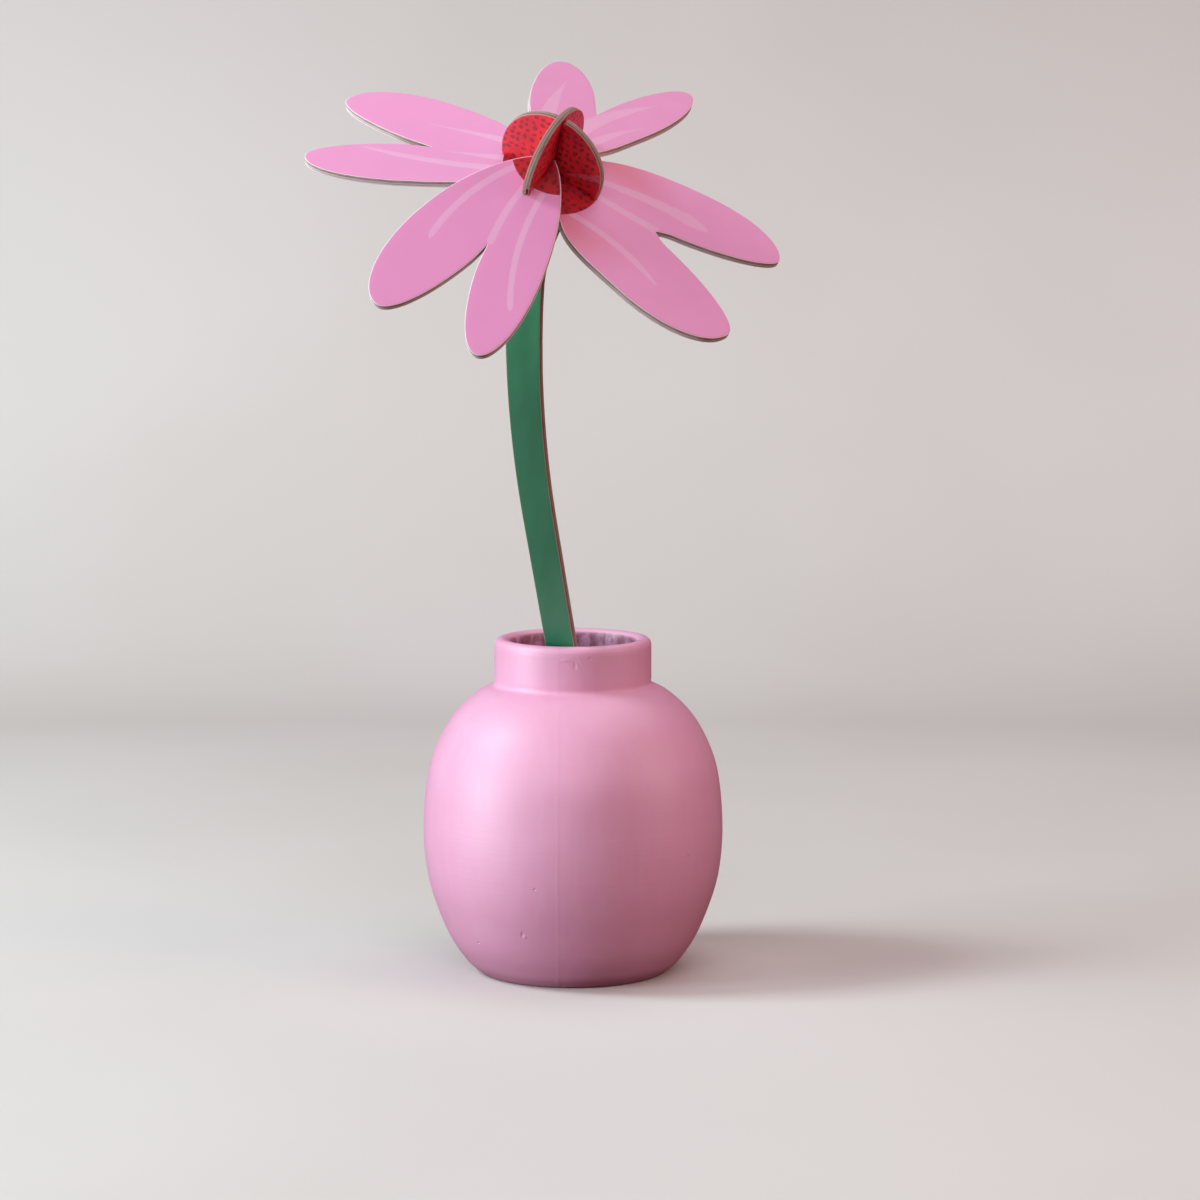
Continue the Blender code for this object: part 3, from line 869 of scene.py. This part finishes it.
# disc: centre and radius of the red middle. strokes: start, end, bow, half widths at start
# and end, share that narrows to the tip, raggedness, strength. Lengths are in mm.
petalLooks = {
    "petals_front": {
        "disc": (-1.3, 1.9, 13.9), "blush": 0.15, "seed": 1.0, "inkSeed": 7.3, "curl": 0.12,
        "strokes": [
            ((9.4, -7.2), (40.5, -15.6), -2.5, 1.00, 0.95, 0.05, 0.35, 0.55),
            ((14.0, -1.6), (34.0, -0.4), -0.7, 0.90, 1.05, 0.04, 0.35, 0.55),
            ((13.6, 4.1), (49.2, 15.2), -2.4, 0.85, 0.80, 0.04, 0.35, 0.60),
        ],
    },
    "petals_right": {
        "disc": (-1.1, -1.5, 16.6), "blush": 1.0, "seed": 2.0, "inkSeed": 14.6,
        "strokes": [
            ((13.6, 6.7), (44.6, 14.4), 1.4, 1.05, 2.10, 0.16, 1.10, 0.50),
            ((14.6, 1.1), (35.4, 3.4), -0.2, 1.00, 1.25, 0.10, 0.35, 0.50),
            ((13.0, -10.4), (43.9, -14.1), 1.9, 1.00, 1.15, 0.30, 0.30, 0.50),
        ],
    },
    "petals_back": {
        "disc": (0.0, 0.0, 12.2), "blush": 0.1, "seed": 3.0, "inkSeed": 21.9, "wave": 0.4,
        "strokes": [
            ((14.0, 10.0), (44.4, 17.9), 0.6, 2.60, 0.60, 0.50, 0.25, 0.50),
            ((15.0, 1.6), (55.0, -6.2), 2.0, 3.00, 0.90, 0.35, 0.30, 0.50),
            ((14.6, -4.4), (38.2, -10.1), 0.9, 1.70, 0.50, 0.50, 0.30, 0.45),
        ],
    },
    "petals_left": {
        "disc": (-1.0, -4.0, 16.2), "blush": 0.0, "seed": 4.0, "inkSeed": 29.2,
        "strokes": [
            ((12.0, -5.6), (41.0, -2.6), -0.6, 1.60, 0.30, 0.80, 0.25, 0.55),
            ((12.0, 1.6), (30.6, 6.6), 0.05, 1.40, 0.30, 0.80, 0.25, 0.55),
            ((13.0, 7.2), (52.6, 15.0), 1.3, 1.35, 0.70, 0.30, 0.30, 0.55),
        ],
    },
}

for nodeName, ownLook in petalLooks.items():
    look = {**boardLook, "calm": 17.0, "slot": "petal_print", **ownLook}
    ink = makePetalPrint(nodeName + "_ink", look)
    makeBoard(nodeName + "_board", nodeName, look, ink, greyboardEdge)

# the two fins that cross: a red cone with seeds, and the green stem
# the fins' cut edges are painted darker and browner, as painted shade
fins = {**boardLook, "calm": 400.0, "curl": 0.0, "wave": 0.0, "slotZone": 27.0,
        "edgeLightShade": (0.66, 0.53, 0.46)}
stemLook = {
    **fins, "seed": 5.0, "inkSeed": 31.0, "slot": "stem_print",
    "redBeyond": 0.4,  # mm, the red runs this far past the cone's round
    "roundUp": (-8, -1), "roundAside": 5,  # mm, where that round is measured
    # painted highlight: a faint pale streak across the cone's right half
    "strokes": [((5.6, -16.2), (15.9, -12.7), 0.0, 0.3, 1.5, 0.02, 0.9, 0.14)],
}
finLook = {
    **fins, "seed": 6.0, "inkSeed": 47.0, "slot": "cone_print",
    "nicks": [(-15.2, -16.1, 1.5, 0.24, 0.20, 0.75)],
}


def coneRadius():
    # the radius, in mm, of the stem board's round upper end
    low, high = (y * mm for y in stemLook["roundUp"])
    found = []
    for vertex in stemMesh.verts:
        rel = vertex.co - coneTop
        x, y = rel.dot(sideways), rel.dot(upwards)
        if low < y < high and abs(x) > stemLook["roundAside"] * mm:
            found.append(-(x * x + y * y) / (2 * y))
    found.sort()
    return found[len(found) // 2] / mm


def makeStemPrint():
    material, bench, shader, place, flatPlace = startPrint("stem_ink")
    radius = coneRadius()
    fromCentre = bench.vector("LENGTH", bench.vector("ADD", flatPlace, (0.0, radius, 0.0)))
    inside = bench.minus(radius + stemLook["redBeyond"], fromCentre)
    inCone = bench.remap(inside, -inks["discEdge"], inks["discEdge"])
    drawnOut = bench.vector("MULTIPLY", flatPlace, (1.0, inks["greenStretch"], 1.0))
    wash = bench.noise(drawnOut, inks["greenScale"], detail=3.0)
    green = bench.mix(bench.remap(wash, *inks["greenWash"]), inks["green"], inks["greenDeep"])
    # painted light and shade along the stem: lighter high up, darker low down
    depth = bench.remap(bench.split(flatPlace)[1], *inks["greenShadeFall"], inks["greenShadeRange"])
    red = seeds(bench, flatPlace, stemLook["inkSeed"])
    # painted highlight: the faint pale streak on the cone's right half
    red = addStrokes(bench, flatPlace, red, stemLook["strokes"])
    colour = bench.mix(inCone, bench.shade(green, depth), red)
    rimColour = bench.mix(inCone, inks["green"], inks["red"])
    finishPrint(bench, shader, place, colour, rimColour, inks["finMottle"])
    return material


def makeFinPrint():
    material, bench, shader, place, flatPlace = startPrint("cone_ink")
    colour = seeds(bench, flatPlace, finLook["inkSeed"])
    finishPrint(bench, shader, place, colour, inks["red"], inks["finMottle"])
    return material


makeBoard("stem_board_cut", "stem_board", stemLook, makeStemPrint(), greyboardEdge)
makeBoard("cross_fin_cut", "cross_fin", finLook, makeFinPrint(), greyboardEdge)


# vase

vaseLook = {
    "segments": 192,
    "step": 1.1,  # mm along the profile
    "cornerTurn": 40, "sharpTurn": 50,  # degrees, where the profile and the shading break
    "evenFrom": 4.0, "evenTo": 88.0, "evenReach": 52, "evenRounds": 150,
    "evenPulls": (0.5, -0.515),  # in and out by turns
    "lump": 0.09, "mostLump": 0.1,  # mm, slow unevenness of a hand-finished wall
    "lumpScale": (1.7, 26), "fineScale": (7, 120), "fineShare": 0.25,  # around, up
    "fineSeed": 5,
    "calmFoot": 8.0,  # mm, the wall is even at the foot
    "paint": (0.80, 0.365, 0.565), "paintPale": (0.83, 0.450, 0.640),
    # the inside's colours are darkened as painted shade
    "inside": (0.24, 0.068, 0.120), "insidePale": (0.62, 0.27, 0.49),
    "roughness": 0.52, "coat": (0.90, 0.53),
    "brushScale": 0.35, "brushStretch": 0.10, "brushRough": 0.6, "brushShades": (0.42, 0.72),
    "brushShare": 0.22, "brushHeight": 0.030,
    "brushGloss": (0.3, 0.7), "brushRoughness": (0.48, 0.58),
    "cloudScale": 0.035, "cloudShades": (0.45, 0.75), "cloudShare": 0.35,
    "grainScale": 900.0, "grainHeight": 0.020,
    "ringScale": 0.75, "ringHeight": 0.048,
    "insideFrom": (20.3, 19.9),  # mm from the axis, where the inner coat begins
    "insideAbove": 7.0,
    "mottleScale": 0.28, "mottleStretch": 0.6, "mottleRough": 0.62, "mottleShades": (0.38, 0.68),
    "frontFrom": (-2.0, -8.0),  # mm, the faults are on the front only
    # small faults in the paint: x, z, half width, half height, height, all in mm
    "marks": [
        (-15.2, 18.8, 0.7, 1.5, -0.19), (-14.2, 18.2, 0.5, 0.8, 0.16),
        (-28.9, 13.9, 0.6, 0.5, -0.20), (-11.3, 33.9, 0.6, 0.5, -0.18),
        (35.5, 42.4, 0.5, 1.2, 0.12), (5.4, 101.4, 0.8, 0.7, -0.14),
        (-2.0, 100.9, 2.6, 0.9, 0.11), (0.8, 99.2, 0.9, 2.2, -0.14),
    ],
    "seam": (-4.35, 0.9, 0.028),  # x, half width and height of a faint upright ridge
    "scuff": (0.6, 99.4, 4.6, 3.2, 0.64),  # x, z, half sizes and height of a brushy patch
    "scuffScale": 0.55, "scuffSlant": (0.7, 0.15),
}


def vaseProfile():
    # the edges that lie in the plane y = 0, on the side where x is above 0
    mesh = weldedMesh("vase")
    tiny = cadLook["tiny"] * mm
    edgeOf = {}
    for edge in mesh.edges:
        a, b = edge.verts
        if all(abs(v.co.y) < tiny and v.co.x > -tiny for v in (a, b)):
            edgeOf.setdefault(a, []).append(b)
            edgeOf.setdefault(b, []).append(a)
    ends = sorted((v for v in edgeOf if len(edgeOf[v]) == 1), key=lambda v: v.co.z)
    line = [ends[0], edgeOf[ends[0]][0]]
    while len(line) < len(edgeOf):
        line.append(next(v for v in edgeOf[line[-1]] if v is not line[-2]))
    points = [Vector((v.co.x, v.co.z)) for v in line]
    points = [Vector((0.0, points[0].y))] + points + [Vector((0.0, points[-1].y))]
    mesh.free()
    return points


def smoothProfile(points):
    look = vaseLook
    line = []
    step = look["step"] * mm
    corner = math.radians(look["cornerTurn"])
    last = len(points) - 1
    sharp = [0] + [i for i in range(1, last) if abs(turnAt(points, i)) > corner] + [last]
    for start, end in zip(sharp[:-1], sharp[1:]):
        line += curveThrough(points[start:end + 1], step, math.ceil)
    line.append(points[-1])
    # the long outer curve of the belly is evened out
    low, high = look["evenFrom"] * mm, look["evenTo"] * mm
    outer = line.index(max(line, key=lambda point: point.x))
    for pull in look["evenPulls"] * look["evenRounds"]:
        middles = [(line[i - 1] + line[i + 1]) / 2 for i in range(1, len(line) - 1)]
        for i, middle in enumerate(middles, 1):
            if abs(i - outer) < look["evenReach"] and low < line[i].y < high:
                line[i] = line[i] + (middle - line[i]) * pull
    return line


def makeVase(paint):
    look = vaseLook
    profile = smoothProfile(vaseProfile())
    mesh = bmesh.new()
    segments = look["segments"]
    wide, tall = look["lumpScale"]
    fineWide, fineTall = look["fineScale"]
    rings = []
    for point in profile:
        if point.x < cadLook["tiny"] * mm:
            rings.append([mesh.verts.new((0.0, 0.0, point.y))])
            continue
        ring = []
        for i in range(segments):
            angle = 2 * math.pi * i / segments
            x, y = math.cos(angle), math.sin(angle)
            fineUp = point.y * fineTall + look["fineSeed"]
            slow = noise.noise(Vector((x * wide, y * wide, point.y * tall)))
            fine = noise.noise(Vector((x * fineWide, y * fineWide, fineUp)))
            calm = min(1.0, point.y / (look["calmFoot"] * mm))
            shift = calm * look["lump"] * (slow + look["fineShare"] * fine)
            radius = point.x + min(shift, look["mostLump"]) * mm
            ring.append(mesh.verts.new((x * radius, y * radius, point.y)))
        rings.append(ring)
    for lower, upper in zip(rings[:-1], rings[1:]):
        for i in range(segments):
            j = (i + 1) % segments
            # a ring that is one place on the axis gives a triangle
            below = dict.fromkeys((lower[i % len(lower)], lower[j % len(lower)]))
            above = dict.fromkeys((upper[j % len(upper)], upper[i % len(upper)]))
            mesh.faces.new((*below, *above))
    bmesh.ops.recalc_face_normals(mesh, faces=mesh.faces)
    for face in mesh.faces:
        face.smooth = True
    piece = objectFrom(mesh, "vase_painted", paint)
    piece.data.set_sharp_from_angle(angle=math.radians(look["sharpTurn"]))
    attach(piece, "root")
    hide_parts("vase")


def spotOnFront(bench, x, z, spotX, spotZ, halfWidth, halfHeight):
    # 1 in the middle of an oval on the front, 0 at its edge
    across = bench.math("DIVIDE", bench.minus(x, spotX), halfWidth)
    along = bench.math("DIVIDE", bench.minus(z, spotZ), halfHeight)
    return bench.remap(bench.vector("LENGTH", bench.combine(across, along)), 1.0, 0.0)


def vaseHeight(bench, place, x, y, z, brush):
    # in mm: brushed coat, fine rings from turning, and the faults on the front
    look = vaseLook
    grain = bench.noise(place, look["grainScale"])
    rings = bench.noise(bench.combine(0.0, 0.0, z), look["ringScale"])
    front = bench.remap(y, *look["frontFrom"])
    parts = [
        bench.times(brush, look["brushHeight"]),
        bench.times(grain, look["grainHeight"]),
        bench.times(rings, look["ringHeight"]),
    ]
    for *spot, high in look["marks"]:
        parts.append(bench.times(spotOnFront(bench, x, z, *spot), front, high))
    seamX, seamHalf, seamHigh = look["seam"]
    fromSeam = bench.math("ABSOLUTE", bench.minus(x, seamX))
    parts.append(bench.times(bench.remap(fromSeam, seamHalf, 0.0, (0.0, seamHigh)), front))
    *spot, high = look["scuff"]
    lean, squash = look["scuffSlant"]
    slant = bench.combine(bench.plus(x, bench.times(z, lean)), bench.times(x, squash))
    strokes = bench.minus(bench.noise(slant, look["scuffScale"], detail=3.0), 0.5)
    parts.append(bench.times(strokes, spotOnFront(bench, x, z, *spot), high, front))
    return bench.plus(*parts)


def makeVasePaint():
    look = vaseLook
    material, bench, shader = newMaterial("vasePaint", look["roughness"], look["coat"])
    place = bench.add("ShaderNodeNewGeometry").outputs["Position"]
    x, y, z = bench.split(bench.vector("MULTIPLY", place, (1 / mm,) * 3))
    # upright brush marks, and slow clouds where the paint went on thicker
    drawnOut = bench.combine(x, y, bench.times(z, look["brushStretch"]))
    brush = bench.noise(drawnOut, look["brushScale"], 4.0, look["brushRough"])
    cloud = bench.noise(bench.combine(x, y, z), look["cloudScale"], detail=3.0)
    brushMask = bench.remap(brush, *look["brushShades"], (0.0, look["brushShare"]))
    cloudMask = bench.remap(cloud, *look["cloudShades"], (0.0, look["cloudShare"]))
    colour = bench.mix(brushMask, look["paint"], look["paintPale"])
    colour = bench.mix(cloudMask, colour, look["paintPale"])
    # the inside is a cooler, more mottled coat, and is also painted much darker as painted shade
    # inside the neck
    radius = bench.vector("LENGTH", bench.combine(x, y))
    inward = bench.remap(radius, *look["insideFrom"])
    inNeck = bench.times(inward, bench.math("GREATER_THAN", z, look["insideAbove"]))
    blotches = bench.combine(x, y, bench.times(z, look["mottleStretch"]))
    mottle = bench.noise(blotches, look["mottleScale"], 5.0, look["mottleRough"])
    inner = bench.mix(
        bench.remap(mottle, *look["mottleShades"]), look["inside"], look["insidePale"]
    )
    bench.plug(shader["Base Color"], bench.mix(inNeck, colour, inner))
    height = vaseHeight(bench, place, x, y, z, brush)
    bench.raiseBy(shader, height, strength=1.0, distance=1.0)
    roughness = bench.remap(brush, *look["brushGloss"], look["brushRoughness"])
    bench.plug(shader["Roughness"], roughness)
    return material


makeVase(makeVasePaint())
stemMesh.free()
finMesh.free()


# floor, backdrop, light and camera

studio = {
    "floorTone": (0.66, 0.63, 0.61), "wallTone": (0.70, 0.67, 0.66),
    "bounceTone": (0.125, 0.045, 0.038),
    "width": 3.2, "front": -2.2, "back": 0.85, "height": 2.4,
    "sweep": 0.35, "sweepSteps": 16,
    "grainScale": 3.0, "grainShades": (0.35, 0.65), "roughness": 0.9,
    "world": 0.05, "worldTone": (1.0, 0.97, 0.96, 1.0),
    "aim": (0.0, -0.05, 0.17),
}


def makeStage():
    # one sheet that sweeps up from the floor into the wall
    back, sweep, steps = studio["back"], studio["sweep"], studio["sweepSteps"]
    line = [(studio["front"], 0.0)]
    for i in range(steps + 1):
        angle = math.pi / 2 * i / steps
        line.append((back - sweep + sweep * math.sin(angle), sweep - sweep * math.cos(angle)))
    line.append((back, studio["height"]))
    half = studio["width"]
    mesh = bmesh.new()
    pairs = [(mesh.verts.new((-half, y, z)), mesh.verts.new((half, y, z))) for y, z in line]
    for (a, b), (c, d) in zip(pairs[:-1], pairs[1:]):
        mesh.faces.new((a, b, d, c)).smooth = True
    material, bench, shader = newMaterial("stagePaper", studio["roughness"])
    place = bench.add("ShaderNodeTexCoord").outputs["Object"]
    grain = bench.noise(place, studio["grainScale"], detail=3.0)
    mottle = bench.remap(grain, *studio["grainShades"])
    paper = bench.mix(mottle, studio["floorTone"], studio["wallTone"])
    # pale to look at, but it throws little light back
    seen = bench.add("ShaderNodeLightPath").outputs["Is Camera Ray"]
    bench.plug(shader["Base Color"], bench.mix(seen, studio["bounceTone"], paper))
    stage = objectFrom(mesh, "stage_sweep", material)


def makeLamp(name, place, size, power, tone):
    lamp = bpy.data.lights.new(name, "AREA")
    lamp.shape = "RECTANGLE"
    lamp.size, lamp.size_y = size
    lamp.energy = power
    lamp.color = tone
    thing = bpy.data.objects.new(name, lamp)
    thing.location = place
    aim = Vector(studio["aim"]) - Vector(place)
    thing.rotation_euler = aim.to_track_quat("-Z", "Y").to_euler()
    scene.collection.objects.link(thing)


lamps = [
    # name, place, size, power, tone
    ("window_upper", (-1.00, -0.14, 0.93), (0.36, 0.44), 11.2, (0.83, 1.0, 1.0)),
    ("window_lower", (-1.10, -0.40, 0.17), (0.36, 0.40), 10.8, (0.86, 0.97, 1.0)),
    ("soft_front", (-0.05, -1.62, 1.12), (1.80, 1.10), 11.7, (1.0, 0.89, 0.93)),
    ("soft_above", (0.30, 0.26, 1.50), (1.60, 1.20), 9.6, (1.0, 0.96, 1.0)),
    ("warm_right", (1.30, -0.50, 0.60), (0.80, 0.80), 7.2, (1.0, 0.66, 0.56)),
]

makeStage()
for lampRow in lamps:
    makeLamp(*lampRow)

world = bpy.data.worlds.new("studioAir")
world.use_nodes = True
air = world.node_tree.nodes["Background"].inputs
air["Color"].default_value = studio["worldTone"]
air["Strength"].default_value = studio["world"]
scene.world = world
scene.view_settings.view_transform = "Standard"

view = {"place": (0.00841, -1.1420, 0.2575), "lookDown": 7.04, "lens": 111.0}

cameraData = bpy.data.cameras.new("view_camera")
cameraData.lens = view["lens"]
camera = bpy.data.objects.new("view_camera", cameraData)
camera.location = view["place"]
camera.rotation_euler = Euler((math.radians(90 - view["lookDown"]), 0, 0))
scene.collection.objects.link(camera)
scene.camera = camera
print("stage, lights and camera placed")
